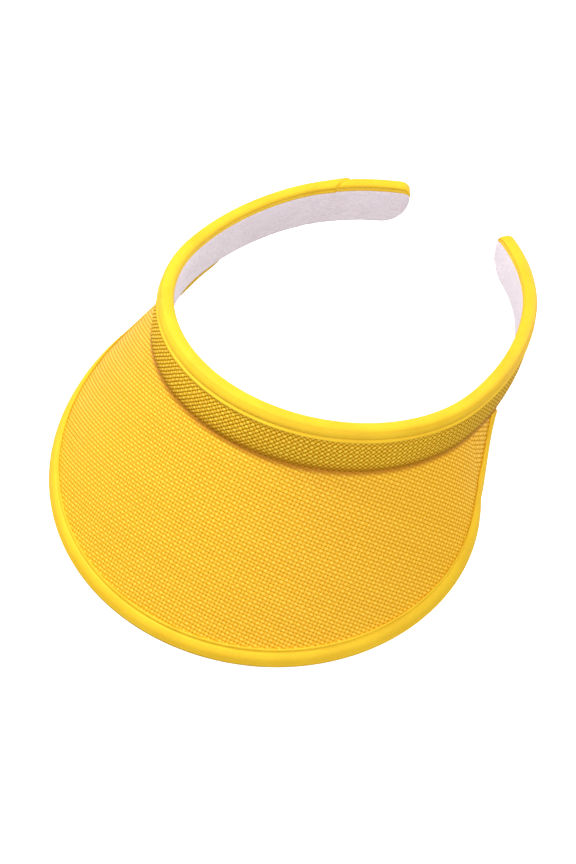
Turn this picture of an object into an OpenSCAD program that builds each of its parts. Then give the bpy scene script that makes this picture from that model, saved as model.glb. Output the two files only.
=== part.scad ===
// Clip-on sun visor: a C-shaped padded spring band with a wide, sloping peak sewn to its front.
// Frame: +Z up, the wearer looks along -Y. The origin is the centre of the front arc at half the
// band's height, so the head sits on the Z axis. All lengths are millimetres.
// A place on the band is given by its heading (degrees round from the front, + on the wearer's
// left), by u (outwards from the spring strip's middle) and by z.

/* [Band plan] */
// Radius of the front arc, at the spring strip
front_r = 77; // [70:0.5:84]
// Half angle of the front arc
front_h = 86; // [80:1:90]
// Radius of the flatter side arcs
side_r = 150; // [120:1:170]
// Heading where the side arcs end
side_h = 112; // [108:1:116]
// Radius of the arcs round the back of the head
rear_r = 94; // [85:1:105]
// Heading at the tips of the arms
tip_h = 150; // [145:0.5:155]

/* [Band section] */
// Height of the band without its binding
band_hgt = 21.2; // [18:0.2:30]
// Thickness of the band from lining face to cover face, at the top
band_t = 5.6; // [5:0.1:7]
// Extra thickness of the pad at the bottom of the forehead
wedge = 5; // [0:0.5:7]
// Heading where that extra thickness has run out
wedge_end_h = 100; // [97:0.5:101]
// How far the padded cover swells at half height
swell = 0.7; // [0:0.1:1.2]
// Thickness of the woven cover
cover_t = 0.6; // [0.4:0.1:0.8]
// Thickness of the towelling lining
lining_t = 2.1; // [1.5:0.1:2.2]
// Thickness of the spring strip
strip_t = 1; // [0.8:0.1:1.2]
// Height of the spring strip
strip_hgt = 16; // [10:0.5:18]
// Radius of the lower corner at each arm's tip
tip_r = 10; // [4:0.5:12]
// Radius of the upper corner at each arm's tip
tip_top_r = 2.5; // [1:0.5:5]

/* [Bias binding] */
// Thickness of the bias tape
tape_t = 0.45; // [0.3:0.05:0.6]
// How far the tape comes down outside the band
tape_out = 5; // [3:0.5:8]
// How far the tape comes down inside the band
tape_in = 2.6; // [2:0.2:5]
// Width of the tape on the brim's edge
edge_tape_w = 7.5; // [5:0.5:10]

/* [Brim] */
// Depth of the brim at the front, along its slope
brim_depth = 94; // [70:0.5:110]
// Slope of the brim below level
brim_slope = 59; // [45:0.5:66]
// Heading where the brim's ends meet the band
brim_end_h = 95.5; // [90:0.5:99]
// Fullness of the outline: smaller is fuller at the sides
brim_full = 0.69; // [0.5:0.01:1]
// Thickness of the stiffening board
board_t = 1.2; // [0.8:0.1:1.6]
// Thickness of each brim fabric
brim_fab_t = 0.55; // [0.4:0.05:0.7]

/* [Flexing] */
// Heading of the line that each arm flexes about
flex_h = 102; // [101:0.5:105]
// Slit at each flex line, each side of it
flex_slit = 0.65; // [0.5:0.05:0.9]

/* [Hidden] */
$fn = 96;

// Layer gap, half sizes and the faces that neighbouring layers share
gap = 0.05;
half_t = band_t / 2;
top_z = band_hgt / 2;
low_z = -band_hgt / 2;
strip_half = strip_t / 2;
cover_in = half_t - cover_t;
pad_in = strip_half + gap;
brim_tuck = 1.4;
brim_top_t = board_t / 2 + gap + brim_fab_t;
brim_z = low_z - gap - brim_top_t * cos(brim_slope);
slit_deg = flex_slit / side_r * 180 / PI;
front_stop_h = flex_h - slit_deg;
arm_start_h = flex_h + slit_deg;
guard_t = 0.5;
tape_gap = 0.2;
seam_tape_w = 6;
guard_len = 12;
strip_end = 7;

// Centres of the side and rear arcs, which run on tangentially
side_c = (front_r - side_r) * [sin(front_h), -cos(front_h)];
rear_c = side_c + (side_r - rear_r) * [sin(side_h), -cos(side_h)];
tip_at = rear_c + rear_r * [sin(tip_h), -cos(tip_h)];

// Point on the band's plan at a heading h and an outward offset u
function plan(h, u) =
    let (a = abs(h), s = h < 0 ? -1 : 1,
         c = a <= front_h ? [0, 0] : a <= side_h ? side_c : rear_c,
         r = (a <= front_h ? front_r : a <= side_h ? side_r : rear_r) + u)
    [s * (c.x + r * sin(a)), c.y - r * cos(a)];

// How much of the forehead wedge is present: 1 at the front, 0 short of the flex lines
function share(h) = abs(h) >= wedge_end_h ? 0 : pow(cos(90 * h / wedge_end_h), 1.3);

// Outward offset of the cover's face, v running from 0 at the top to 1 at the bottom
function face(v, s) = half_t + wedge * s * pow(v, 0.9) + swell * 4 * v * (1 - v);
function face_z(v) = top_z - v * band_hgt;

// The brim is a ruled sheet: slope, length and base offset depend on the heading alone
function slope(h) = brim_slope + 30 * pow(abs(h) / brim_end_h, 10);
function depth(h) = brim_depth * pow(max(0, 1 - pow(h / brim_end_h, 2)), brim_full);
function brim_foot(h) = cover_in - brim_tuck + wedge * share(h);
function brim_at(h, d, t) =
    let (p = plan(h, brim_foot(h) + d * cos(slope(h)) + t * sin(slope(h))))
    [p.x, p.y, brim_z - d * sin(slope(h)) + t * cos(slope(h))];

// Convex pieces that fill a wall's section, its points paired from one face to the other
function pairs(n) = [for (i = [0 : n / 2 - 2]) [i, i + 1, n - 2 - i, n - 1 - i]];
function fan(p) = [for (i = [1 : len(p) - 2]) [p[0], p[i], p[i + 1]]];

// Skin a row of equal rings, each a list of points, into one closed solid. cap lists the convex
// pieces of an end, and sides from the number turned on are split along their other diagonal
module loft(rings, cap, turned = 1000) {
    n = len(rings[0]);
    last = (len(rings) - 1) * n;
    ends = [for (piece = cap) each fan(piece)];
    polyhedron(
        points = [for (r = rings) each r],
        faces = [
            for (f = ends) [f[2], f[1], f[0]],
            for (k = [0 : n : last - n], i = [0 : n - 1])
                let (a = k + i, b = k + (i + 1) % n)
                each i < turned ? [[a, b, b + n], [a, b + n, a + n]] : [[a, b, a + n], [b, b + n, a + n]],
            for (f = ends) [f[0] + last, f[1] + last, f[2] + last],
        ]);
}

// Stand a section of [u, z] points at a heading
function stand(section, h) = [for (q = section) let (p = plan(h, q[0])) [p.x, p.y, q[1]]];

// Headings along the padded front, one step about every three degrees
front_steps = 66;
front_headings = [for (k = [0 : front_steps]) front_stop_h * (2 * k / front_steps - 1)];

// Headings along the left arm, one step about every three degrees and closer at the rounded tip
arm_steps = 16;
function to_tip(s) = tip_h - s / rear_r * 180 / PI;
arm_headings = concat(
    [for (k = [0 : arm_steps]) arm_start_h + (to_tip(tip_r) - arm_start_h) * k / arm_steps],
    [for (k = [1 : 5]) to_tip(tip_r * (1 - sin(18 * k)))]);

// Height of an arm's lower and upper edge, by the distance s left to its tip
function corner(s, r) = s >= r ? 0 : r - sqrt(max(0, r * r - (r - s) * (r - s)));
function tip_low(s) = low_z + corner(s, tip_r);
function tip_high(s) = top_z - corner(s, tip_top_r);
function left_of(h) = max(0, (tip_h - h) * PI / 180 * rear_r);

// Squeeze a section between the two edges, or only let it follow the upper one
function pinch(section, s) = [for (q = section)
    [q[0], tip_low(s) + (q[1] - low_z) * (tip_high(s) - tip_low(s)) / band_hgt]];
function lower(section, s) = [for (q = section) [q[0], q[1] + tip_high(s) - top_z]];

// Plan of an upright strip that follows the band between two offsets
module ribbon(headings, u0, u1) {
    n = len(headings) - 1;
    polygon(concat(
        [for (k = [0 : n]) plan(headings[k], u1)],
        [for (k = [n : -1 : 0]) plan(headings[k], u0)]));
}

// An upright bar along the left arm, its end held back from the tip and its corners rounded
module arm_bar(u0, u1, z0, z1, back, round_r) {
    intersection() {
        translate([0, 0, z0]) linear_extrude(height = z1 - z0) ribbon(arm_headings, u0, u1);
        translate([tip_at.x, tip_at.y, 0]) rotate([90, 0, tip_h])
            linear_extrude(height = 120, center = true) {
                translate([-150, z0]) square([150 - back - round_r, z1 - z0]);
                translate([-150, z0 + round_r]) square([150 - back, z1 - z0 - 2 * round_r]);
                for (z = [z0 + round_r, z1 - round_r]) translate([-back - round_r, z]) circle(r = round_r);
            }
    }
}

// ---- Sections, as [u, z] points ----

// Woven cover: swelling outer wall, turned under at the bottom towards the strip
function cover_section(s) = concat(
    [for (v = [0 : 0.2 : 1]) [face(v, s) - 0.6 * pow(v, 6), face_z(v)]],
    [[pad_in, low_z], [pad_in, low_z + cover_t]],
    [[face(0.97, s) - cover_t - 0.6, low_z + cover_t]],
    [for (v = [0.8 : -0.2 : 0]) [face(v, s) - cover_t, face_z(v)]]);

// Foam pad between the strip and the cover
function padding_section(s) = concat(
    [for (v = [0.04, 0.2, 0.4, 0.6, 0.8]) [face(v, s) - cover_t - gap, face_z(v)]],
    [[face(0.96, s) - cover_t - 0.7 - gap, low_z + cover_t + gap]],
    [[pad_in, low_z + cover_t + gap], [pad_in, face_z(0.04)]]);

// The arm's pad leaves room for the guard on the strip
function arm_padding_section() = [for (q = padding_section(0))
    [q[0] < pad_in + gap ? q[0] + guard_t + gap : q[0], q[1]]];

// Folded tape over the top edge: outer leg, round top and an inner leg sunk flush in the lining
function tape_section(s) =
    let (leg_v = tape_out / band_hgt,
         out = function(v) face(v, s) + gap,
         crown_z = top_z + gap,
         middle = (gap + tape_t) / 2,
         half = half_t + middle)
    concat(
        [[out(leg_v), top_z - tape_out], [out(leg_v) + tape_t, top_z - tape_out]],
        [[out(leg_v / 2) + tape_t, top_z - tape_out / 2]],
        [for (a = [0 : 30 : 180]) [middle + half * cos(a), crown_z - 0.4 + 1.6 * sin(a)]],
        [[-half_t, top_z - tape_in], [-half_t + tape_t, top_z - tape_in]],
        [[-half_t + tape_t, crown_z], [half_t + gap, crown_z]],
        [[out(leg_v / 2), top_z - tape_out / 2]]);
tape_cap = [[0, 1, 2, 14], [14, 2, 3, 13], [13, 3, 4, 5, 6], [13, 6, 12], [12, 6, 7, 8, 9], [9, 10, 11, 12]];

// Towelling sweatband: flat face to the head, stepped back under the tape at the top and turned
// out under the strip at the bottom
recess = tape_t + gap;
step_z = top_z - tape_in - gap;
function arm_lining_section(left) =
    let (back = -strip_half - guard_t - 2 * gap,
         low = tip_low(left),
         high = tip_high(left),
         k = (high - low) / band_hgt)
    [[-half_t, low + 0.8 * k], [-half_t, high - top_z + step_z], [-half_t + recess, high - top_z + step_z],
     [-half_t + recess, high], [back, high],
     [back, low + 1.2 * k], [strip_half, low + 1.2 * k], [strip_half, low], [-half_t + 0.8, low]];
arm_lining_cap = [[0, 1, 2], [2, 3, 4, 5], [0, 2, 5], [0, 5, 8], [5, 6, 7, 8]];

// ---- Front of the band ----

module front_spring_strip() {
    color("white") translate([0, 0, -strip_hgt / 2]) linear_extrude(height = strip_hgt)
        ribbon(front_headings, -strip_half, strip_half);
}

module front_padding() {
    color("ivory") loft([for (h = front_headings) stand(padding_section(share(h)), h)], pairs(8));
}

module front_cover() {
    color("gold") loft([for (h = front_headings) stand(cover_section(share(h)), h)], pairs(14));
}

// The forehead stretch of the lining is a true cylinder about the Z axis. Its face is first drawn
// proud there and a little shy further round, and then bored out
module front_lining() {
    proud = 0.3;
    shy = 0.1;
    bored_h = 75;
    tip_to_tip = [for (h = front_headings) 1.01 * h];
    color("thistle") difference() {
        translate([0, 0, low_z]) {
            linear_extrude(height = band_hgt) polygon(concat(
                [for (h = front_headings) plan(h, -half_t + lining_t)],
                [for (k = [front_steps : -1 : 0]) let (h = front_headings[k])
                    plan(h, abs(h) < bored_h ? -half_t - proud : -half_t + shy)]));
            linear_extrude(height = 1.2) ribbon(front_headings, -half_t + proud, strip_half);
        }
        translate([0, 0, low_z - 1]) cylinder(r = front_r - half_t, h = band_hgt + 2, $fn = 240);
        translate([0, 0, step_z]) linear_extrude(height = tape_in + 1)
            ribbon(tip_to_tip, -half_t - 1, -half_t + recess);
    }
}

module front_top_binding() {
    color("yellow") loft([for (h = front_headings) stand(tape_section(share(h)), h)], tape_cap);
}

// ---- Brim ----

// Headings across the brim, closer together towards its ends
brim_steps = 72;
brim_headings = [for (k = [0 : brim_steps])
    brim_end_h * sin(87.3 * (2 * k / brim_steps - 1))];

// One flat layer of the brim between two distances from its middle surface. All layers are split
// the same way, so that they nest
module brim_sheet(t0, t1, short = 0) {
    loft([for (h = brim_headings)
        let (rim = max(depth(h) - 8, 0.4 * depth(h)), d = [0, rim, depth(h) - short])
        [for (i = [0 : 2]) brim_at(h, d[i], t1), for (i = [2 : -1 : 0]) brim_at(h, d[i], t0)]],
        pairs(6), 3);
}

module brim_board() {
    color("white") brim_sheet(-board_t / 2, board_t / 2, 0.6);
}

module brim_top_fabric() {
    color("gold") brim_sheet(board_t / 2 + gap, brim_top_t);
}

module brim_under_fabric() {
    color("khaki") brim_sheet(-brim_top_t, -board_t / 2 - gap);
}

// Point at a distance s out from the brim's edge, measured square to it along the sheet
function off_edge(h, s, t) =
    let (dh = 0.2,
         radius = norm(brim_at(h + dh, depth(h), 0) - brim_at(h - dh, depth(h), 0)) / (2 * dh),
         run = radius * dh,
         rise = (depth(h + dh) - depth(h - dh)) / 2,
         len = norm([run, rise]),
         side = sign(h) == 0 ? 1 : sign(h))
    brim_at(h - s * rise / len / radius, max(0, depth(h) + s * run / len), t);

// Folded tape round the brim's edge, with a rounded nose
function edge_tape_section() =
    let (inner = brim_top_t + tape_gap, outer = inner + tape_t)
    concat(
        [[-edge_tape_w, inner], [-edge_tape_w, outer], [-edge_tape_w / 2, outer]],
        [for (a = [90 : -30 : -90]) [outer * 0.8 * cos(a) + gap, outer * sin(a)]],
        [[-edge_tape_w / 2, -outer], [-edge_tape_w, -outer], [-edge_tape_w, -inner]],
        [[-edge_tape_w / 2, -inner], [gap, -inner], [gap, inner], [-edge_tape_w / 2, inner]]);
edge_tape_cap = [[0, 1, 2, 16], [16, 2, 3, 15], [15, 3, 4, 5, 6], [15, 6, 14], [14, 6, 7, 8, 9],
    [14, 9, 10, 13], [13, 10, 11, 12]];

module brim_edge_binding() {
    color("yellow") loft([for (h = brim_headings)
        [for (q = edge_tape_section()) off_edge(h, q[0], q[1])]], edge_tape_cap);
}

// Tape that covers the seam where brim and band meet, on the underside
module brim_seam_tape() {
    near_t = -brim_top_t - tape_gap;
    color("khaki") loft([for (h = brim_headings) if (abs(h) < brim_end_h - 7)
        [brim_at(h, 0, near_t), brim_at(h, seam_tape_w, near_t),
         brim_at(h, seam_tape_w, near_t - tape_t), brim_at(h, 0, near_t - tape_t)]],
        pairs(4), 2);
}

// ---- Arms, drawn on the wearer's left ----

module arm_spring_strip() {
    color("white") arm_bar(-strip_half, strip_half, -strip_hgt / 2, strip_hgt / 2, strip_end, 4);
}

// Soft sleeve that keeps the strip's end from poking through
module arm_tip_guard() {
    half = strip_half + guard_t;
    high = strip_hgt / 2 + guard_t;
    color("lightgrey") difference() {
        arm_bar(-half, half, -high, high, strip_end - 1.5, 4.5);
        arm_bar(-strip_half - gap, strip_half + gap, -high + guard_t - gap, high - guard_t + gap,
            strip_end - gap, 4);
        translate([tip_at.x, tip_at.y, 0]) rotate([0, 0, tip_h])
            translate([-200 - guard_len - strip_end, -100, -50]) cube([200, 200, 100]);
    }
}

module arm_loft(section) {
    loft([for (h = arm_headings) stand(pinch(section, left_of(h)), h)], pairs(len(section)));
}

module arm_padding() {
    color("ivory") arm_loft(arm_padding_section());
}

module arm_cover() {
    color("gold") arm_loft(cover_section(0));
}

module arm_lining() {
    color("thistle") loft([for (h = arm_headings) stand(arm_lining_section(left_of(h)), h)], arm_lining_cap);
}

module arm_top_binding() {
    color("yellow") loft([for (h = arm_headings) stand(lower(tape_section(0), left_of(h)), h)], tape_cap);
}

module right() {
    mirror([1, 0, 0]) children();
}

front_spring_strip();
front_padding();
front_cover();
front_lining();
front_top_binding();
brim_board();
brim_top_fabric();
brim_under_fabric();
brim_edge_binding();
brim_seam_tape();
arm_spring_strip();  // left_arm_spring_strip
arm_tip_guard();  // left_arm_tip_guard
arm_padding();  // left_arm_padding
arm_cover();  // left_arm_cover
arm_lining();  // left_arm_lining
arm_top_binding();  // left_arm_top_binding
right() arm_spring_strip();  // right_arm_spring_strip
right() arm_tip_guard();  // right_arm_tip_guard
right() arm_padding();  // right_arm_padding
right() arm_cover();  // right_arm_cover
right() arm_lining();  // right_arm_lining
right() arm_top_binding();  // right_arm_top_binding
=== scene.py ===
import math

import bpy
from mathutils import Matrix, Vector


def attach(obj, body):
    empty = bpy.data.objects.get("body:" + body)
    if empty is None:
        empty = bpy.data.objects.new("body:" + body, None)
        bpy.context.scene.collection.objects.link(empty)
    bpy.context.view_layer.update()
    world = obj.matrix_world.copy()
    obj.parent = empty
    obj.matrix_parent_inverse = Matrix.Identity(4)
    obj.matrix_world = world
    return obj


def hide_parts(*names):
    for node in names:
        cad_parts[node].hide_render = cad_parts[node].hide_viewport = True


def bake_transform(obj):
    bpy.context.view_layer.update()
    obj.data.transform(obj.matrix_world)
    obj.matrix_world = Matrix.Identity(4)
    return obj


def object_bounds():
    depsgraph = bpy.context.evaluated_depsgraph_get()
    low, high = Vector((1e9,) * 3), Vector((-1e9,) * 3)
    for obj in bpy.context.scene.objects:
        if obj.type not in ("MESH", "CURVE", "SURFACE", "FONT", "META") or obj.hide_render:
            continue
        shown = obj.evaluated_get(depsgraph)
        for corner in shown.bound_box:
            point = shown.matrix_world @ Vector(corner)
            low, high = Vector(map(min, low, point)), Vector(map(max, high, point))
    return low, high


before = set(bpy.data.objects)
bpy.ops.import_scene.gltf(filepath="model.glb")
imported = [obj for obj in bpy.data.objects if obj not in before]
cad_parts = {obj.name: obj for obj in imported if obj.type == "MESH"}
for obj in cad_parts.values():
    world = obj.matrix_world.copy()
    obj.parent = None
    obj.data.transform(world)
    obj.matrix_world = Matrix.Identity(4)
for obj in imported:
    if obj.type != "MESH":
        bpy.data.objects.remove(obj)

cad_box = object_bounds()
MM = 0.001


# ---- Studio ----
# White sweep, a soft key from the wearer's right, a wide fill from the left, a low light behind and
# a white surround that is dimmer from below. The camera stands in front on the wearer's left and
# looks down, leaning a little to one side.

scene = bpy.context.scene
scene.view_settings.view_transform = "Standard"


def pick_nothing():
    bpy.ops.object.select_all(action="DESELECT")


def aimed(location, target, roll=0.0):
    """Rotation that looks from location to target, rolled about the view axis."""
    turn = (target - location).to_track_quat("-Z", "Y").to_matrix().to_4x4()
    return (turn @ Matrix.Rotation(math.radians(roll), 4, "Z")).to_euler()


camera_at = Vector((0.32288, -0.66520, 0.59407))
camera_aim = Vector((0.02376, -0.07285, 0.00099))
camera_roll = 10.98
bpy.ops.object.camera_add(location=camera_at, rotation=aimed(camera_at, camera_aim, camera_roll))
camera = bpy.context.object
camera.data.lens = 86.75
camera.data.clip_start = 0.02
scene.camera = camera


def soft_light(name, location, target, width, power):
    bpy.ops.object.light_add(type="AREA", location=location, rotation=aimed(location, target))
    lamp = bpy.context.object
    lamp.name = name
    lamp.data.shape = "DISK"
    lamp.data.size = width
    lamp.data.energy = power


centre = Vector((0, -0.03, -0.03))
soft_light("key_light", Vector((-0.74, -0.22, 0.74)), centre, 0.42, 11)
soft_light("fill_light", Vector((0.75, -0.75, 0.9)), centre, 0.9, 13.5)
soft_light("back_light", Vector((0.25, 1.1, 0.25)), centre, 0.9, 8)

surround = bpy.data.worlds.new("white_surround")
scene.world = surround
surround.use_nodes = True
sky = surround.node_tree
towards = sky.nodes.new("ShaderNodeTexCoord")
parts = sky.nodes.new("ShaderNodeSeparateXYZ")
rising = sky.nodes.new("ShaderNodeMapRange")
for end, value in (("From Min", -0.35), ("From Max", 0.5), ("To Min", 0.14), ("To Max", 0.42)):
    rising.inputs[end].default_value = value
sky.links.new(towards.outputs["Generated"], parts.inputs[0])
sky.links.new(parts.outputs[2], rising.inputs["Value"])
sky.links.new(rising.outputs["Result"], sky.nodes["Background"].inputs["Strength"])
sky.nodes["Background"].inputs["Color"].default_value = (1, 1, 1, 1)


class Value:
    """A number that varies over a surface, so that shader maths reads as plain arithmetic."""

    def __init__(self, finish, socket):
        self.finish = finish
        self.socket = socket

    def maths(self, operation, *others, swap=False):
        parts = [self, *others]
        if swap:
            parts.reverse()
        return self.finish.node("ShaderNodeMath", {"operation": operation}, dict(enumerate(parts)))

    def __add__(self, other):
        return self.maths("ADD", other)

    def __sub__(self, other):
        return self.maths("SUBTRACT", other)

    def __rsub__(self, other):
        return self.maths("SUBTRACT", other, swap=True)

    def __mul__(self, other):
        return self.maths("MULTIPLY", other)

    def __truediv__(self, other):
        return self.maths("DIVIDE", other)

    def __pow__(self, other):
        return self.maths("POWER", other)

    __radd__ = __add__
    __rmul__ = __mul__

    def sine(self):
        return self.maths("SINE")

    def size(self):
        return self.maths("ABSOLUTE")

    def at_least(self, other):
        return self.maths("MAXIMUM", other)

    def step(self, low, high, to_low=0.0, to_high=1.0):
        """Smooth change from to_low to to_high as the value goes from low to high."""
        return self.finish.node(
            "ShaderNodeMapRange", {"interpolation_type": "SMOOTHSTEP"},
            {"Value": self, "From Min": low, "From Max": high, "To Min": to_low, "To Max": to_high})


class Finish:
    """One procedural material. Its node method adds any node and gives back one output."""

    def __init__(self, name):
        self.material = bpy.data.materials.new(name)
        self.material.use_nodes = True
        self.tree = self.material.node_tree
        self.tree.nodes.clear()

    def node(self, kind, settings=None, sockets=None, output=0):
        made = self.tree.nodes.new(kind)
        for key, value in (settings or {}).items():
            if key == "stops":
                ramp = made.color_ramp
                while len(ramp.elements) < len(value):
                    ramp.elements.new(0.5)
                for element, (place, colour) in zip(ramp.elements, value):
                    element.position = place
                    element.color = (*colour, 1)
            else:
                setattr(made, key, value)
        for key, value in (sockets or {}).items():
            socket = made.inputs[key]
            if isinstance(value, Value):
                self.tree.links.new(value.socket, socket)
            else:
                socket.default_value = value
        if made.outputs:
            return Value(self, made.outputs[output])

    def mix(self, amount, first, second, blend="MIX"):
        """Colour between first and second; each is a colour or a varying colour."""
        colour = lambda c: c if isinstance(c, Value) else (*c, 1)
        return self.node(
            "ShaderNodeMix", {"data_type": "RGBA", "blend_type": blend},
            {0: amount, 6: colour(first), 7: colour(second)}, output=2)

    def place(self):
        return self.node("ShaderNodeTexCoord", output="Object")

    def flat(self):
        return self.node("ShaderNodeUVMap", {"uv_map": "cut"})

    def split(self, vector):
        made = self.node("ShaderNodeSeparateXYZ", {}, {0: vector})
        outputs = made.socket.node.outputs
        return Value(self, outputs[0]), Value(self, outputs[1])

    def noise(self, where, scale, detail=2.0, roughness=0.5):
        return self.node(
            "ShaderNodeTexNoise", {},
            {"Vector": where, "Scale": scale, "Detail": detail, "Roughness": roughness})

    def join(self, x, y):
        return self.node("ShaderNodeCombineXYZ", {}, {0: x, 1: y})

    def bump(self, height, depth, below=None):
        sockets = {"Height": height, "Distance": depth, "Strength": 1.0}
        if below is not None:
            sockets["Normal"] = below
        return self.node("ShaderNodeBump", {}, sockets)

    def surface(self, **sockets):
        names = {key.replace("_", " "): value for key, value in sockets.items()}
        shader = self.node("ShaderNodeBsdfPrincipled", {}, names)
        self.node("ShaderNodeOutputMaterial", {}, {"Surface": shader})
        return self.material


sweep = Finish("white_sweep")
sweep_tone = sweep.noise(sweep.place(), 3.0).step(0.3, 0.7, 0.0, 1.0)
sweep_material = sweep.surface(
    Base_Color=sweep.mix(sweep_tone, (0.78, 0.78, 0.78), (0.82, 0.82, 0.82)), Roughness=0.9,
    Emission_Color=(1, 1, 1, 1), Emission_Strength=0.75)
pick_nothing()
floor_z = cad_box[0].z - 3 * MM
floor_radius = 12.0
bpy.ops.mesh.primitive_circle_add(
    vertices=64, radius=floor_radius, fill_type="NGON", location=(0, 0, floor_z))
floor = bpy.context.object
floor.name = "white_floor"
floor.data.materials.append(sweep_material)
floor.visible_diffuse = False       # it shows white, but doesn't light the visor from below


# ---- Spring strips ----
# One springy plastic strip runs inside the whole band and gives it its open C shape.
# Natural, slightly milky polypropylene, slit from sheet; three lengths of it are carried over.

milky = Finish("spring_plastic")
milky_cloud = milky.noise(milky.place(), 60.0, 3.0)
milky_lines = milky.noise(milky.place(), 900.0, 1.0)
milky_plastic = milky.surface(
    Base_Color=milky.mix(milky_cloud.step(0.35, 0.7), (0.80, 0.82, 0.80), (0.90, 0.91, 0.88)),
    Roughness=milky_cloud.step(0.3, 0.7, 0.32, 0.45),
    Normal=milky.bump(milky_lines, 0.02 * MM))


def dress(node, material):
    """Give a carried-over part its material."""
    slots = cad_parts[node].data.materials
    slots.clear()
    slots.append(material)


for strip in ("front_spring_strip", "left_arm_spring_strip", "right_arm_spring_strip"):
    dress(strip, milky_plastic)


# ---- Tip guards ----
# A felt sleeve glued over each end of the strip, so that it can't wear through the lining.

felt = Finish("guard_felt")
felt_fibre = felt.noise(felt.place(), 1500.0, 4.0, 0.7)
felt_blotch = felt.noise(felt.place(), 250.0, 3.0)
guard_felt = felt.surface(
    Base_Color=felt.mix(felt_blotch.step(0.3, 0.7), (0.52, 0.51, 0.49), (0.66, 0.65, 0.62)),
    Roughness=0.95, Normal=felt.bump(felt_fibre, 0.15 * MM))
for guard in ("left_arm_tip_guard", "right_arm_tip_guard"):
    dress(guard, guard_felt)


# ---- Foam pads ----
# Sheet foam between the strip and the cover, from the flex lines round the forehead and along each
# arm. It is thicker low on the forehead, where the brim is sewn in, and makes the cover swell.

front_r = 77 * MM
front_h = 86.0
side_r = 150 * MM
side_h = 112.0
rear_r = 94 * MM
tip_h = 150.0
band_t = 5.6 * MM
band_hgt = 21.2 * MM
half_t = band_t / 2
top_z = band_hgt / 2
low_z = -band_hgt / 2
wedge = 5 * MM
swell = 0.7 * MM
cover_t = 0.6 * MM
strip_half = 0.5 * MM
gap = 0.05 * MM
flex_h = 102.0
split_h = 92.0
brim_end_h = 95.5
wedge_end_h = 100.0
tip_r = 13 * MM
tip_top_r = 5 * MM


def outward(heading):
    """Unit direction out of the band, and along it towards the tip, in plan."""
    a = math.radians(heading)
    return Vector((math.sin(a), -math.cos(a), 0)), Vector((math.cos(a), math.sin(a), 0))


side_centre = (front_r - side_r) * outward(front_h)[0]
rear_centre = side_centre + (side_r - rear_r) * outward(side_h)[0]


def band_at(heading, u, z):
    """Point at a heading round the band, u out from the strip's middle and z up."""
    side = -1 if heading < 0 else 1
    a = abs(heading)
    if a <= front_h:
        about, radius = Vector((0, 0, 0)), front_r
    elif a <= side_h:
        about, radius = side_centre, side_r
    else:
        about, radius = rear_centre, rear_r
    place = about + (radius + u) * outward(a)[0]
    return Vector((side * place.x, place.y, z))


def run_to(heading):
    """Length of the band's middle line from the front to a heading."""
    a = math.radians(abs(heading))
    first, second = math.radians(front_h), math.radians(side_h)
    length = front_r * min(a, first)
    length += side_r * max(0, min(a, second) - first)
    length += rear_r * max(0, a - second)
    return math.copysign(length, heading)


def heading_at(run):
    """The heading that lies a given length round the band from the front."""
    first = front_r * math.radians(front_h)
    second = first + side_r * math.radians(side_h - front_h)
    s = abs(run)
    if s <= first:
        a = s / front_r
    elif s <= second:
        a = math.radians(front_h) + (s - first) / side_r
    else:
        a = math.radians(side_h) + (s - second) / rear_r
    return math.copysign(math.degrees(a), run)


def share(heading):
    """How much of the forehead wedge is present."""
    if abs(heading) >= wedge_end_h:
        return 0.0
    return math.cos(math.radians(90 * heading / wedge_end_h)) ** 1.3


def face(v, s):
    """Outward place of the cover's face, v running from 0 at the top to 1 at the bottom."""
    return half_t + wedge * s * v ** 0.9 + swell * 4 * v * (1 - v)


def corner(left, radius):
    if left >= radius:
        return 0.0
    return radius - math.sqrt(max(0.0, radius ** 2 - (radius - left) ** 2))


def pinch(z, left):
    """Squeeze a height between the arm's edges, left being the length to its tip."""
    low = low_z + corner(left, tip_r)
    high = top_z - corner(left, tip_top_r)
    return low + (z - low_z) * (high - low) / band_hgt


tip_run = run_to(tip_h)
split_run = run_to(split_h)
flex_from = band_at(flex_h - 7, 0, 0)
flex_to = band_at(flex_h + 7, 0, 0)


def cut_grid(name, columns, rows):
    """A flat grid, as cloth is cut, one unit square about the origin."""
    pick_nothing()
    bpy.ops.mesh.primitive_grid_add(x_subdivisions=columns, y_subdivisions=rows, size=1, calc_uvs=True)
    made = bpy.context.object
    made.name = name
    made.data.name = name
    return made


def lay(piece, form, pattern=None):
    """Lay a flat grid over a form: form and pattern take a and b, each from 0 to 1.
    pattern gives the flat cut's own coordinates in metres, kept as the piece's UV map."""
    mesh = piece.data
    flat = [(v.co.x + 0.5, v.co.y + 0.5) for v in mesh.vertices]
    if pattern:
        mesh.uv_layers[0].name = "cut"
        cut = [pattern(a, b) for a, b in flat]
        for loop in mesh.loops:
            mesh.uv_layers["cut"].data[loop.index].uv = cut[loop.vertex_index]
    for v, (a, b) in zip(mesh.vertices, flat):
        v.co = form(a, b)
    mesh.update()


def modify(piece, kind, **settings):
    """Add one modifier and apply it."""
    pick_nothing()
    piece.select_set(True)
    bpy.context.view_layer.objects.active = piece
    bpy.ops.object.modifier_add(type=kind)
    added = piece.modifiers[-1]
    for key, value in settings.items():
        setattr(added, key, value)
    bpy.ops.object.modifier_apply(modifier=added.name)


def edit(piece, *steps):
    """Run edit-mode operators on the whole piece."""
    pick_nothing()
    piece.select_set(True)
    bpy.context.view_layer.objects.active = piece
    bpy.ops.object.mode_set(mode="EDIT")
    bpy.ops.mesh.select_all(action="SELECT")
    for step, settings in steps:
        step(**settings)
    bpy.ops.object.mode_set(mode="OBJECT")


def smooth(piece, angle=35):
    pick_nothing()
    piece.select_set(True)
    bpy.context.view_layer.objects.active = piece
    bpy.ops.object.shade_smooth_by_angle(angle=math.radians(angle))


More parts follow.
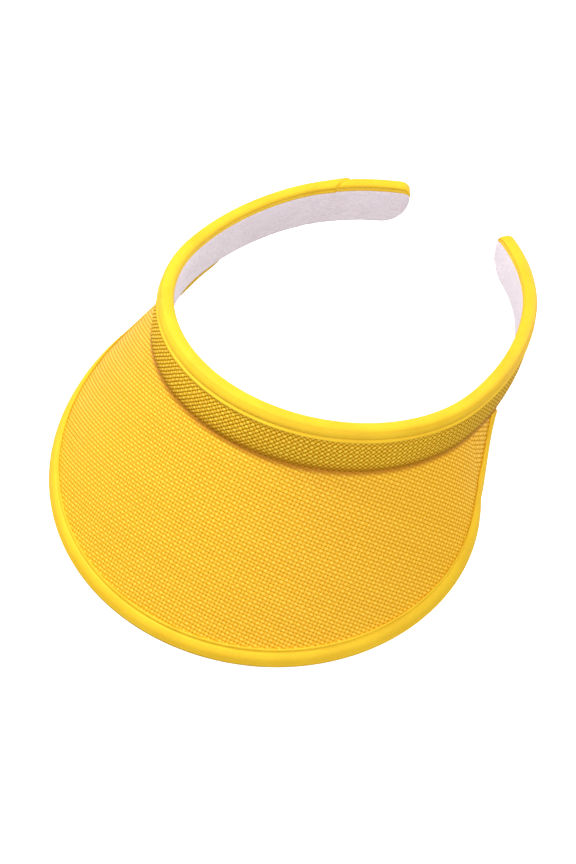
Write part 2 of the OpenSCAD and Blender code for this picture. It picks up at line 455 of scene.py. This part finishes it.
def thicken(piece, thickness, offset=-1.0):
    modify(piece, "SOLIDIFY", thickness=thickness, offset=offset, use_even_offset=False)


def finish_piece(piece, material, nodes, body, arm=None):
    """Material, slot and the nodes it stands for, which are hidden; a piece off the arms is attached to
    its body, an arm's piece only has its transform baked into its mesh.
    """
    piece.data.materials.clear()
    piece.data.materials.append(material)
    if nodes:
        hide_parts(*nodes)
    if arm is None:
        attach(piece, body)
    else:
        side = 1 if arm == "left_arm" else -1
        side * flex_from.x
        side * flex_to.x
        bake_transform(piece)


sponge = Finish("pad_foam")
cells = sponge.node("ShaderNodeTexVoronoi", {"feature": "F1"},
                    {"Vector": sponge.place(), "Scale": 1400.0})
foam_tone = sponge.noise(sponge.place(), 90.0)
pad_foam = sponge.surface(
    Base_Color=sponge.mix(cells.step(0.1, 0.6), (0.70, 0.66, 0.54), (0.90, 0.87, 0.77)),
    Roughness=0.95, Normal=sponge.bump(cells, -0.25 * MM, sponge.bump(foam_tone, 0.3 * MM)))


def closed_loop(points, b):
    """Point at a fraction b round a closed outline, by its length."""
    n = len(points)
    sides = [math.dist(points[i], points[(i + 1) % n]) for i in range(n)]
    goal = (b % 1.0) * sum(sides)
    for i, side in enumerate(sides):
        if goal <= side:
            p, q = points[i], points[(i + 1) % n]
            k = goal / side
            return p[0] + (q[0] - p[0]) * k, p[1] + (q[1] - p[1]) * k
        goal -= side
    return points[0]


def pad_outline(s, inner):
    heights = (0.06, 0.2, 0.35, 0.5, 0.65, 0.8, 0.9, 0.95)
    out = [(face(v, s) - cover_t - 2 * gap, top_z - v * band_hgt) for v in heights]
    low = low_z + cover_t + 2 * gap
    out.append((max(inner + 0.6 * MM, face(0.95, s) - cover_t - 1.2 * MM), low))
    out.append((inner, low))
    out.append((inner, top_z - 0.06 * band_hgt))
    return out


def foam_pad(name, from_run, to_run, inner, node, body, columns=40):
    pad = cut_grid(name, columns, 44)

    def form(a, b):
        run = from_run + (to_run - from_run) * a
        heading = heading_at(run)
        u, z = closed_loop(pad_outline(share(heading), inner), b)
        left = max(0.0, tip_run - abs(run))
        return band_at(heading, u, pinch(z, left))

    lay(pad, form)
    edit(pad, (bpy.ops.mesh.remove_doubles, {"threshold": 1e-6}),
         (bpy.ops.mesh.select_all, {"action": "DESELECT"}),
         (bpy.ops.mesh.select_non_manifold, {}),
         (bpy.ops.mesh.fill, {}),
         (bpy.ops.mesh.select_all, {"action": "SELECT"}),
         (bpy.ops.mesh.normals_make_consistent, {"inside": False}))
    smooth(pad)
    finish_piece(pad, pad_foam, [node], body)


flex_run = run_to(flex_h)
pad_slit = 0.7 * MM
foam_pad("front_foam", -flex_run + pad_slit, flex_run - pad_slit, strip_half + 2 * gap,
         "front_padding", "front", columns=90)
for sign, arm in ((1, "left_arm"), (-1, "right_arm")):
    foam_pad(arm + "_foam", sign * (flex_run + pad_slit), sign * (tip_run - 1.5 * MM),
             strip_half + 0.7 * MM, arm + "_padding", arm)


# ---- Sweatband lining ----
# Cotton towelling, cut to the band's height plus a turning, worn against the forehead. Its top edge
# lies under the binding and its bottom edge is turned out under the strip.

towel = Finish("towelling")
loops = towel.node("ShaderNodeTexVoronoi", {"feature": "F1"},
                   {"Vector": towel.place(), "Scale": 1150.0, "Randomness": 1.0})
tufts = towel.noise(towel.place(), 420.0, 3.0, 0.6)
washed = towel.noise(towel.place(), 70.0, 3.0, 0.6)
towel_height = (1 - loops * 1.1) * 0.6 + tufts * 0.9
towel_tone = towel.mix(towel_height.step(0.4, 1.1), (0.84, 0.74, 0.82), (0.94, 0.86, 0.93))
towelling = towel.surface(
    Base_Color=towel.mix(washed.step(0.35, 0.65, 0.0, 0.45), towel_tone, (0.96, 0.87, 0.96)),
    Roughness=0.95, Specular_IOR_Level=0.2, Sheen_Weight=0.2, Sheen_Roughness=0.6,
    Normal=towel.bump(towel_height, 0.22 * MM))

lining_face = -half_t
tape_t = 0.45 * MM
tape_in = 2.6 * MM


def along(points, b):
    """Point at a fraction b of an open line's length."""
    sides = [math.dist(p, q) for p, q in zip(points, points[1:])]
    goal = b * sum(sides)
    for p, q, side in zip(points, points[1:], sides):
        if goal <= side or q is points[-1]:
            k = min(1.0, goal / side)
            return p[0] + (q[0] - p[0]) * k, p[1] + (q[1] - p[1]) * k
        goal -= side


def arc_points(centre, radius, start, stop, count):
    return [(centre[0] + radius * math.cos(math.radians(start + (stop - start) * k / count)),
             centre[1] + radius * math.sin(math.radians(start + (stop - start) * k / count)))
            for k in range(count + 1)]


lining_thick = 1.3 * MM
lining_line = (
    [(lining_face + 0.75 * MM, top_z - 0.15 * MM), (lining_face + 0.5 * MM, top_z - tape_in + 0.3 * MM),
     (lining_face + 0.12 * MM, top_z - tape_in - 0.5 * MM), (lining_face, top_z - tape_in - 1.6 * MM),
     (lining_face - 0.08 * MM, 0), (lining_face, low_z + 2.2 * MM)]
    + arc_points((lining_face + 1.35 * MM, low_z + 1.4 * MM), 1.35 * MM, 180, 270, 6)
    + [(strip_half, low_z + 0.04 * MM)])


def ridge(x, height, at, width):
    """A rounded ridge on cloth at x, or a groove where its height is negative. All but x are in
    millimetres."""
    return height * MM * math.exp(-((x / MM - at) / width) ** 2)


def lining(name, from_run, to_run, node, body, arm=None):
    fine = 0.45
    columns = int(abs(to_run - from_run) / (fine * MM))
    piece = cut_grid(name, columns, int(26 / fine))

    def form(a, b):
        run = from_run + (to_run - from_run) * a
        u, z = along(lining_line, 1 - b)
        left = max(0.0, tip_run - 0.3 * MM - abs(run))
        u += 0.5 * MM * max(0.0, 1 - left / (1.2 * MM)) ** 2
        u += ridge(left, 0.28, 3.4, 0.45)
        return band_at(heading_at(run), u, pinch(z, left))

    lay(piece, form, lambda a, b: (from_run + (to_run - from_run) * a, b * 24 * MM))
    edit(piece, (bpy.ops.mesh.normals_make_consistent, {"inside": False}))
    loops_relief(piece)
    thicken(piece, lining_thick)
    smooth(piece, 60)
    finish_piece(piece, towelling, [node], body, arm)


def loops_relief(piece):
    """Raise the towelling's tufts a little out of the sheet."""
    for kind, size, strength in (("CLOUDS", 1.1 * MM, 0.28 * MM), ("CLOUDS", 9 * MM, 0.25 * MM)):
        pattern = bpy.data.textures.new(piece.name + "_tufts", kind)
        pattern.noise_scale = size
        modify(piece, "DISPLACE", texture=pattern, texture_coords="GLOBAL", strength=strength,
               mid_level=0.5)


lining("front_sweatband", -split_run, split_run, "front_lining", "front")
for sign, arm in ((1, "left_arm"), (-1, "right_arm")):
    lining(arm + "_sweatband", sign * split_run, sign * tip_run, arm + "_lining", arm, arm)


# ---- Band cover ----
# Coarse plain-weave cotton cut on the bias so that it goes round the curve, stretched over the foam
# and rolled under at the bottom, where it is sewn to the brim.

thread = 1.62 * MM


def weave(cloth, x, y, turn, pitch):
    """Plain weave: its height, from 0 in the gaps to 1 on a thread's crown, how far the warp is on
    top, the fibres along each thread, and each thread's own shade."""
    c, n = math.cos(math.radians(turn)), math.sin(math.radians(turn))
    wander = cloth.noise(cloth.place(), 150.0, 2.0) - 0.5
    p = (x * c + y * n) / pitch + wander * 0.4
    q = (y * c - x * n) / pitch + wander * 0.4
    uneven = cloth.noise(cloth.place(), 330.0, 1.0) - 0.5
    sp = (p * math.pi).sine()
    sq = (q * math.pi).sine()
    over = sp * sq + uneven * 0.5
    warp = (sp.size() ** 0.55) * (over * 0.5 + 0.42)
    weft = (sq.size() ** 0.40) * (over * -0.5 + 0.58)
    warp_up = (warp - weft).step(-0.12, 0.12)
    fibres_p = cloth.noise(cloth.join(p * 7.0, q * 1.1), 1.0)
    fibres_q = cloth.noise(cloth.join(p * 1.1, q * 7.0), 1.0)
    fibre = fibres_q + (fibres_p - fibres_q) * warp_up
    shade_p = cloth.node("ShaderNodeTexWhiteNoise", {"noise_dimensions": "1D"}, {"W": p.maths("FLOOR")})
    shade_q = cloth.node("ShaderNodeTexWhiteNoise", {"noise_dimensions": "1D"}, {"W": q.maths("FLOOR")})
    shade = shade_q + (shade_p - shade_q) * warp_up
    return warp.at_least(weft), warp_up, fibre, shade


woven = Finish("woven_cover")
wx, wy = woven.split(woven.flat())
high, warp_up, fibre, shade = weave(woven, wx, wy, 45, thread)
thread_tone = woven.mix(shade, (0.95, 0.51, 0.010), (1.0, 0.60, 0.020))
# Painted shade: the warp knuckles are darkened, standing in for the shade that falls on these recessed
# knuckles.
thread_tone = woven.mix(warp_up * 0.5, thread_tone, (0.74, 0.33, 0.002))
# Painted highlight: thread crowns are lightened towards pale yellow, standing in for light catching
# them.
thread_tone = woven.mix(high.step(0.6, 0.95, 0.0, 0.6), thread_tone, (1.0, 0.80, 0.15))
# Painted shade: the cloth is darkened to brown over its lowest 7 mm, where it rolls under against the
# brim.
thread_tone = woven.mix(wy.step(2.6 * MM, 7.0 * MM, 0.75, 0.0), thread_tone, (0.50, 0.19, 0.002))
woven_cover = woven.surface(
    Base_Color=woven.mix(high.step(0.30, 0.62), (0.40, 0.17, 0.002), thread_tone),
    Roughness=high.step(0.3, 0.9, 0.9, 0.55), Specular_IOR_Level=0.06,
    Normal=woven.bump(high + fibre * 0.15, 0.45 * MM))

cover_thick = 0.55 * MM
turn_in = 2.6 * MM


def cover_line(s):
    """Section of the cover, from its top edge down the face and round under the band."""
    points = [(face(v, s) - 0.6 * MM * v ** 6, top_z - v * band_hgt)
              for v in [k / 24 for k in range(1, 23)]]
    u, z = points[-1]
    points += [(u - 0.25 * MM, low_z + 0.62 * MM), (u - 0.7 * MM, low_z + 0.22 * MM),
               (u - 1.3 * MM, low_z + 0.06 * MM), (u - 1.9 * MM, low_z + 0.02 * MM)]
    return points


def cover(name, from_run, to_run, node, body, arm=None):
    piece = cut_grid(name, int(abs(to_run - from_run) / (1.2 * MM)), 30)
    turn_from = 0.9 if arm else 1.0
    turn_run = to_run - math.copysign(turn_in, to_run) if arm else to_run

    def run_at(a):
        """Even steps along the band, then finer ones where the cloth turns in round the tip."""
        if not arm or a < turn_from:
            return from_run + (turn_run - from_run) * a / turn_from
        left = turn_in * (1 - math.sin(math.radians(90 * (a - turn_from) / (1 - turn_from))))
        return to_run - math.copysign(left, to_run)

    def form(a, b):
        run = run_at(a)
        heading = heading_at(run)
        u, z = along(cover_line(share(heading)), 1 - b)
        left = max(0.0, tip_run - abs(run))
        round_tip = math.sqrt(max(0.0, 1 - max(0.0, 1 - left / turn_in) ** 2))
        u = -1.6 * MM + (u + 1.6 * MM) * round_tip
        return band_at(heading, u, pinch(z, left))

    lay(piece, form, lambda a, b: (run_at(a), b * 23.5 * MM))
    edit(piece, (bpy.ops.mesh.normals_make_consistent, {"inside": False}))
    thicken(piece, cover_thick)
    smooth(piece, 50)
    finish_piece(piece, woven_cover, [node], body, arm)


cover("forehead_cover", -split_run, split_run, "front_cover", "front")
for sign, arm in ((1, "left_arm"), (-1, "right_arm")):
    cover(arm + "_cover_cloth", sign * split_run, sign * tip_run, arm + "_cover", arm, arm)


# ---- Brim board ----
# Stiff white plastic sheet, die-cut flat and bent round the forehead; it sits between the brim's
# two cloths and gives the brim its shape.

board = Finish("board_plastic")
board_cloud = board.noise(board.place(), 45.0, 3.0)
board_plastic = board.surface(
    Base_Color=board.mix(board_cloud.step(0.3, 0.7), (0.86, 0.87, 0.86), (0.93, 0.93, 0.92)),
    Roughness=board_cloud.step(0.3, 0.7, 0.4, 0.5),
    Normal=board.bump(board.noise(board.place(), 700.0, 2.0), 0.02 * MM))

brim_depth = 94 * MM
brim_slope = 59.0
brim_full = 0.63
brim_top_t = 1.2 * MM
cover_in = 2.2 * MM
brim_z = low_z - gap - brim_top_t * math.cos(math.radians(brim_slope))
upright_turn, upright_power = 30.0, 12      # how the brim turns towards upright at its ends
cut_from_h, cut_over_h, cut_share = 80.0, 12.0, 0.75


def slope(heading):
    return math.radians(brim_slope + upright_turn * (abs(heading) / brim_end_h) ** upright_power)


def depth(heading):
    """Length of the brim; its rear corner on the wearer's right is cut back to a quarter of that."""
    cut_back = min(1.0, max(0.0, (-heading - cut_from_h) / cut_over_h))
    whole = brim_depth * max(0.0, 1 - (heading / brim_end_h) ** 2) ** brim_full
    return whole * (1 - cut_share * cut_back * cut_back * (3 - 2 * cut_back))


def brim_at(heading, d, t):
    """Point on the brim, d down from the band along it and t up out of its middle."""
    foot = cover_in - 1.4 * MM + wedge * share(heading)
    a = slope(heading)
    return band_at(heading, foot + d * math.cos(a) + t * math.sin(a),
                   brim_z - d * math.sin(a) + t * math.cos(a))


def brim_heading(a, reach=88.5):
    """Headings along the brim, closer together towards its ends."""
    return brim_end_h * math.sin(math.radians(reach * (2 * a - 1)))


def brim_length(heading, short):
    return max(0.0, depth(heading) - short)


board_in = 1.6 * MM
board_sheet = cut_grid("brim_board_sheet", 200, 40)
lay(board_sheet,
    lambda a, b: brim_at(brim_heading(a), brim_length(brim_heading(a), board_in) * b, 0))
edit(board_sheet, (bpy.ops.mesh.normals_make_consistent, {"inside": False}))
thicken(board_sheet, 1.1 * MM, 0.0)
smooth(board_sheet, 50)
finish_piece(board_sheet, board_plastic, ["brim_board"], "front")


# ---- Brim cloths ----
# The same coarse cotton, cut with its weft across the brim, laid over the board above and below and
# held at the rim by the binding. The cut is the brim's flat pattern, a wide fan.

fan_angle = math.cos(math.radians(brim_slope))
fan_r = (front_r + 4 * MM) / fan_angle


def fan_cut(heading, d):
    """A point of the brim on the flat fan that the cloth was cut as."""
    a = math.radians(heading) * fan_angle
    return (fan_r + d) * math.sin(a), -(fan_r + d) * math.cos(a)


def brim_cloth(name, t, outward_up, material, node, columns=220, rows=64):
    piece = cut_grid(name, columns, rows)
    rim = 1.2 * MM
    tuck = 2.2 * MM

    def down(heading, b):
        """Length down the cloth, less than nothing where it is tucked up into the band."""
        return (brim_length(heading, rim) + tuck) * b - tuck

    def laid(a, b):
        heading = brim_heading(a)
        d = down(heading, b)
        return brim_at(heading, max(0.0, d), t) + Vector((0, 0, max(0.0, -d)))

    lay(piece, laid, lambda a, b: fan_cut(brim_heading(a), down(brim_heading(a), b)))
    face_up = piece.data.polygons[len(piece.data.polygons) // 2].normal.z > 0
    if face_up != outward_up:
        edit(piece, (bpy.ops.mesh.flip_normals, {}))
    thicken(piece, 0.5 * MM)
    smooth(piece, 50)
    finish_piece(piece, material, [node], "front")
    return piece


def fan_area():
    """Area of the flat cut, added up in narrow slices."""
    total = 0.0
    for k in range(400):
        h = -brim_end_h + 2 * brim_end_h * (k + 0.5) / 400
        d = depth(h)
        total += math.radians(2 * brim_end_h / 400) * fan_angle * (fan_r * d + d * d / 2)
    return total


brim_top = Finish("brim_cloth")
bx, by = brim_top.split(brim_top.flat())
high, warp_up, fibre, shade = weave(brim_top, bx, by, 0.0, thread)
thread_tone = brim_top.mix(shade, (0.93, 0.46, 0.008), (0.98, 0.53, 0.015))
# Painted shade: the warp knuckles are darkened, standing in for the shade on these recessed knuckles.
thread_tone = brim_top.mix(warp_up * 0.35, thread_tone, (0.88, 0.42, 0.004))
# Painted highlight: thread crowns are lightened towards pale yellow, standing in for light catching
# them.
thread_tone = brim_top.mix(high.step(0.7, 0.98, 0.0, 0.6), thread_tone, (1.0, 0.74, 0.12))
# Painted shade: the cloth is darkened to brown within 2.6 mm of the band, where the band's roll shades
# it.
from_band = (bx * bx + by * by) ** 0.5 - fan_r
thread_tone = brim_top.mix(from_band.step(0.2 * MM, 2.6 * MM, 0.8, 0.0), thread_tone, (0.46, 0.15, 0.0))
brim_weave = brim_top.surface(
    Base_Color=brim_top.mix(high.step(0.25, 0.55), (0.50, 0.21, 0.0), thread_tone),
    Roughness=high.step(0.3, 0.9, 0.85, 0.5), Specular_IOR_Level=0.3,
    Normal=brim_top.bump(high + fibre * 0.15, 0.26 * MM))

under = Finish("brim_under_cloth")
ux, uy = under.split(under.flat())
high, warp_up, fibre, shade = weave(under, ux, uy, 0.0, 0.7 * MM)
under_tone = under.mix(shade, (0.92, 0.60, 0.06), (0.97, 0.68, 0.10))
under_weave = under.surface(
    Base_Color=under.mix(high.step(0.3, 0.6), (0.66, 0.38, 0.02), under_tone),
    Roughness=high.step(0.3, 0.9, 0.9, 0.7), Specular_IOR_Level=0.2,
    Normal=under.bump(high + fibre * 0.2, 0.12 * MM))

top_cloth = brim_cloth("brim_top_cloth", brim_top_t - 0.02 * MM, True, brim_weave, "brim_top_fabric")
under_cloth = brim_cloth("brim_under_cloth", -brim_top_t + 0.02 * MM, False, under_weave,
                         "brim_under_fabric", 200, 40)
for cloth in (top_cloth, under_cloth):
    fan_area()


# ---- Brim seam tape ----
# A flat cotton tape stitched over the seam where brim and band meet, on the underside.

tape_gap = 0.2 * MM
near_t = -brim_top_t - tape_gap
tape_span = brim_end_h - 7
seam_tape = cut_grid("seam_tape", 150, 8)
lay(seam_tape, lambda a, b: brim_at(tape_span * (2 * a - 1), 6 * MM * b, near_t - 0.05 * MM),
    lambda a, b: (math.radians(tape_span * (2 * a - 1)) * front_r, 6 * MM * b))
if seam_tape.data.polygons[len(seam_tape.data.polygons) // 2].normal.z > 0:
    edit(seam_tape, (bpy.ops.mesh.flip_normals, {}))
thicken(seam_tape, tape_t, 1.0)
smooth(seam_tape, 40)
finish_piece(seam_tape, under_weave, ["brim_seam_tape"], "front")


# ---- Bias binding ----
# Folded cotton tape in a brighter yellow, cut on the bias, wrapped over the raw edges and topstitched
# through both legs. One length goes round the brim's rim, another along the whole top of the band.

bias = Finish("bias_tape")
tx, ty = bias.split(bias.flat())
cross = 0.42 * MM
ribs = ((tx + ty) / cross * math.pi).sine() * ((tx - ty) / cross * math.pi).sine()
lint = bias.noise(bias.place(), 900.0, 3.0, 0.6)
faded = bias.noise(bias.place(), 60.0, 2.0)
tape_tone = bias.mix(faded.step(0.3, 0.7), (0.84, 0.50, 0.014), (0.89, 0.56, 0.02))
bias_tape = bias.surface(
    Base_Color=bias.mix(lint.step(0.4, 0.7, 0.0, 0.25), tape_tone, (0.92, 0.62, 0.04)),
    Roughness=faded.step(0.3, 0.7, 0.62, 0.75), Specular_IOR_Level=0.25,
    Normal=bias.bump(ribs * 0.3 + lint, 0.05 * MM))


def off_edge(heading, s, t):
    """Point s out from the brim's rim, square to it along the brim, and t up out of its middle."""
    dh = 0.2
    step = brim_at(heading + dh, depth(heading), 0) - brim_at(heading - dh, depth(heading), 0)
    radius = step.length / (2 * dh)
    run = radius * dh
    rise = (depth(heading + dh) - depth(heading - dh)) / 2
    length = math.hypot(run, rise)
    return brim_at(heading - s * rise / length / radius, max(0.0, depth(heading) + s * run / length), t)


edge_w = 7.5 * MM
rim_t = brim_top_t + tape_gap
stitch_in = 1.6 * MM


def rim_section():
    """Closed outline of the folded tape, as (s, t), with a lip, a stitched groove and a puffed back."""
    upper = []
    for k in range(29):
        s = -edge_w + (edge_w - 0.4 * MM) * k / 28
        back = s + edge_w
        lip = ridge(back, 0.30, 0.55, 0.5)
        groove = ridge(back, -0.32, stitch_in / MM, 0.42)
        puffed = min(1.0, max(0.0, (back - stitch_in) / (5.6 * MM)))
        puff = 0.55 * MM * math.sin(math.pi * puffed)
        upper.append((s, rim_t + tape_t + lip + groove + puff))
    s, t = upper[-1]
    nose = [(s + 1.7 * MM * math.cos(math.radians(a)), t * math.sin(math.radians(a)))
            for a in range(80, -81, -10)]
    lower = [(p, -q) for p, q in reversed(upper)]
    outside = upper + nose + lower
    inside = [(-edge_w, -rim_t), (-0.8 * MM, -rim_t),
              (-0.1 * MM, -rim_t * 0.6), (-0.1 * MM, rim_t * 0.6),
              (-0.8 * MM, rim_t), (-edge_w, rim_t)]
    return outside + inside


def closed_tape(name, columns, section_at, place):
    """Tape swept along a path: a grid rolled round its closed section, its ends capped."""
    count = len(section_at(0.5))
    tape = cut_grid(name, columns, count)
    mesh = tape.data
    mesh.uv_layers[0].name = "cut"
    sections = {}
    around = {}
    for v in mesh.vertices:
        a, b = v.co.x + 0.5, v.co.y + 0.5
        key = round(a * columns)
        if key not in sections:
            points = section_at(a)
            lengths = [0.0]
            for p, q in zip(points, points[1:]):
                lengths.append(lengths[-1] + math.dist(p, q))
            sections[key] = points, lengths
        k = round(b * count)
        around[v.index] = (a, k)
    run = [0.0]
    for k in range(1, columns + 1):
        run.append(run[-1] + (place(k / columns, *section_at(k / columns)[0])
                              - place((k - 1) / columns, *section_at((k - 1) / columns)[0])).length)
    for loop in mesh.loops:
        a, k = around[loop.vertex_index]
        lengths = sections[round(a * columns)][1]
        mesh.uv_layers["cut"].data[loop.index].uv = (
            run[round(a * columns)], lengths[k] if k < count else lengths[-1] + 0.2 * MM)
    for v in mesh.vertices:
        a, k = around[v.index]
        v.co = place(a, *sections[round(a * columns)][0][k % count])
    mesh.update()
    edit(tape, (bpy.ops.mesh.remove_doubles, {"threshold": 1e-6}),
         (bpy.ops.mesh.select_all, {"action": "DESELECT"}),
         (bpy.ops.mesh.select_non_manifold, {}),
         (bpy.ops.mesh.fill, {}),
         (bpy.ops.mesh.select_all, {"action": "SELECT"}),
         (bpy.ops.mesh.normals_make_consistent, {"inside": False}))
    smooth(tape, 55)
    return tape


rim_line = rim_section()
rim_tape = closed_tape(
    "rim_binding", 300, lambda a: rim_line,
    lambda a, s, t: off_edge(brim_heading(a, 87.3), s, t))
finish_piece(rim_tape, bias_tape, ["brim_edge_binding"], "front")

tape_out = 5 * MM


def top_section(s):
    """Closed outline of the tape over the band's top, as (u, z): outer leg, crown, sunk inner leg."""
    outer = []
    for k in range(22):
        drop = tape_out * (1 - k / 21)
        up = tape_out - drop
        lip = ridge(up, 0.32, 0.5, 0.45)
        groove = ridge(up, -0.30, 1.45, 0.4)
        puff = 0.30 * MM * math.sin(math.pi * min(1.0, max(0.0, (up - 1.5 * MM) / (3.5 * MM))))
        outer.append((face(drop / band_hgt, s) + gap + tape_t + lip + groove + puff, top_z - drop))
    middle = (gap + tape_t) / 2
    half = half_t + middle
    crown = [(middle + half * math.cos(math.radians(a)),
              top_z - 0.35 * MM + 1.6 * MM * math.sin(math.radians(a))) for a in range(8, 181, 8)]
    inner = []
    for k in range(1, 13):
        drop = tape_in * k / 12
        lip = ridge(tape_in - drop, 0.16, 0.4, 0.4)
        groove = ridge(tape_in - drop, -0.2, 1.2, 0.35)
        inner.append((-half_t - lip - groove, top_z - drop))
    inner.append((-half_t + tape_t * 0.6, top_z - tape_in))
    under = [(-half_t + tape_t + 0.1 * MM, top_z - 0.2 * MM), (-half_t + 0.9 * MM, top_z + gap),
             (half_t - 0.4 * MM, top_z + gap), (half_t + 0.02 * MM, top_z - 0.4 * MM),
             (face(tape_out / band_hgt, s) + gap * 0.5, top_z - tape_out)]
    return outer + crown + inner + under


join_in = 35 * MM
join_slant = 4 * MM


def top_tape(name, from_run, to_run, node, body, arm=None):
    def place(a, u, z):
        run = from_run + (to_run - from_run) * a
        left = max(0.0, tip_run - abs(run))
        taper = 1 - 0.6 * max(0.0, 1 - left / (6 * MM)) ** 2
        z = top_z + (z - top_z) * taper - corner(left, tip_top_r)
        if arm == "right_arm":
            # the tape's two ends meet here in a bias join, which shows as a slanting fold
            past = (left - join_in + join_slant * (u / half_t)) / MM
            fold = 0.6 * MM / (1 + math.exp(-6 * past)) * math.exp(-max(0.0, past) / 7)
            fold += ridge(past * MM, -0.4, -0.5, 0.6)
            u, z = u * (1 + fold / half_t), z + (fold if z > top_z - 1.5 * MM else 0)
        squeeze = math.sqrt(max(0.0, 1 - max(0.0, 1 - left / (1.6 * MM)) ** 2))
        return band_at(heading_at(run), u * (0.55 + 0.45 * squeeze), z)

    tape = closed_tape(
        name, int(abs(to_run - from_run) / ((1.3 if arm is None else 0.7) * MM)),
        lambda a: top_section(share(heading_at(from_run + (to_run - from_run) * a))),
        place)
    finish_piece(tape, bias_tape, [node], body, arm)


top_tape("forehead_top_tape", -split_run, split_run, "front_top_binding", "front")
for sign, arm in ((1, "left_arm"), (-1, "right_arm")):
    top_tape(arm + "_top_tape", sign * split_run, sign * tip_run, arm + "_top_binding", arm, arm)


# ---- Topstitching ----
# Yellow sewing thread, one lockstitch row through each binding, close to its inner fold. Each stitch
# is a short thread that dips into the tape at both ends.

yarn = Finish("sewing_thread")
twist = yarn.noise(yarn.place(), 2600.0, 2.0)
yarn_tone = yarn.mix(twist.step(0.3, 0.7), (0.82, 0.60, 0.06), (0.96, 0.80, 0.16))
sewing_thread = yarn.surface(Base_Color=yarn_tone, Roughness=twist.step(0.3, 0.7, 0.5, 0.62),
                             Normal=yarn.bump(twist, 0.05 * MM))

stitch_pitch = 2.7 * MM
stitch_len = 2.25 * MM
pick_nothing()
bpy.ops.mesh.primitive_cylinder_add(
    vertices=6, radius=0.19 * MM, depth=stitch_len, end_fill_type="TRIFAN")
one_stitch = bpy.context.object
stitch_shape = [v.co.copy() for v in one_stitch.data.vertices]
stitch_faces = [tuple(p.vertices) for p in one_stitch.data.polygons]


def stitch_row(name, places, arm=None):
    """Copies of one stitch joined into a row: places are (point, along, up)."""
    verts, faces = [], []
    for point, direction, up in places:
        side = direction.cross(up).normalized()
        up = side.cross(direction).normalized()
        base = len(verts)
        for co in stitch_shape:
            k = co.z / (stitch_len / 2)
            dip = -0.34 * MM * k * k + 0.10 * MM
            verts.append(point + direction * co.z + side * co.x + up * (co.y + dip))
        faces += [tuple(base + i for i in f) for f in stitch_faces]
    mesh = bpy.data.meshes.new(name)
    mesh.from_pydata([tuple(v) for v in verts], [], faces)
    row = bpy.data.objects.new(name, mesh)
    bpy.context.collection.objects.link(row)
    smooth(row, 60)
    finish_piece(row, sewing_thread, [], "front", arm)


def spaced(curve, start, stop, pitch, steps=4000):
    """Parameters along a curve at even distances."""
    out, last, gone = [], curve(start), 0.0
    goal = pitch / 2
    for k in range(1, steps + 1):
        a = start + (stop - start) * k / steps
        point = curve(a)
        gone += (point - last).length
        last = point
        if gone >= goal:
            out.append(a)
            goal += pitch
    return out


def groove_t():
    """Height of the stitched groove in the rim's tape."""
    return rim_t + tape_t - 0.32 * MM + ridge(stitch_in, 0.30, 0.55, 0.5)


def rim_curve(side):
    return lambda h: off_edge(h, -edge_w + stitch_in, side * groove_t())


for side, name in ((1, "rim_stitches_top"), (-1, "rim_stitches_under")):
    curve = rim_curve(side)
    places = []
    for h in spaced(curve, -brim_end_h + 3.5, brim_end_h - 3.5, stitch_pitch):
        point = curve(h)
        direction = (curve(h + 0.3) - curve(h - 0.3)).normalized()
        up = off_edge(h, -edge_w + stitch_in, side * 3 * MM) - off_edge(h, -edge_w + stitch_in, 0)
        places.append((point, direction, up.normalized()))
    stitch_row(name, places)


def top_curve(inside):
    def curve(run):
        heading = heading_at(run)
        left = max(0.0, tip_run - abs(run))
        if inside:
            u, z = -half_t + 0.04 * MM, top_z - tape_in + 1.2 * MM
        else:
            up = 1.45 * MM
            drop = tape_out - up
            lip = ridge(up, 0.32, 0.5, 0.45)
            u = face(drop / band_hgt, share(heading)) + gap + tape_t + lip - 0.30 * MM
            z = top_z - drop
        return band_at(heading, u, z - corner(left, tip_top_r))
    return curve


for inside, label in ((False, "outer"), (True, "inner")):
    curve = top_curve(inside)
    for part, from_run, to_run, arm in (("forehead", -split_run, split_run, None),
                                        ("left_arm", split_run, tip_run - 2 * MM, "left_arm"),
                                        ("right_arm", -split_run, -tip_run + 2 * MM, "right_arm")):
        places = []
        for run in spaced(curve, from_run, to_run, stitch_pitch):
            point = curve(run)
            direction = (curve(run + 0.3 * MM) - curve(run - 0.3 * MM)).normalized()
            out = band_at(heading_at(run), 10 * MM, 0) - band_at(heading_at(run), 0, 0)
            places.append((point, direction, out.normalized() * (-1 if inside else 1)))
        stitch_row(part + "_stitches_" + label, places, arm)
bpy.data.objects.remove(one_stitch)
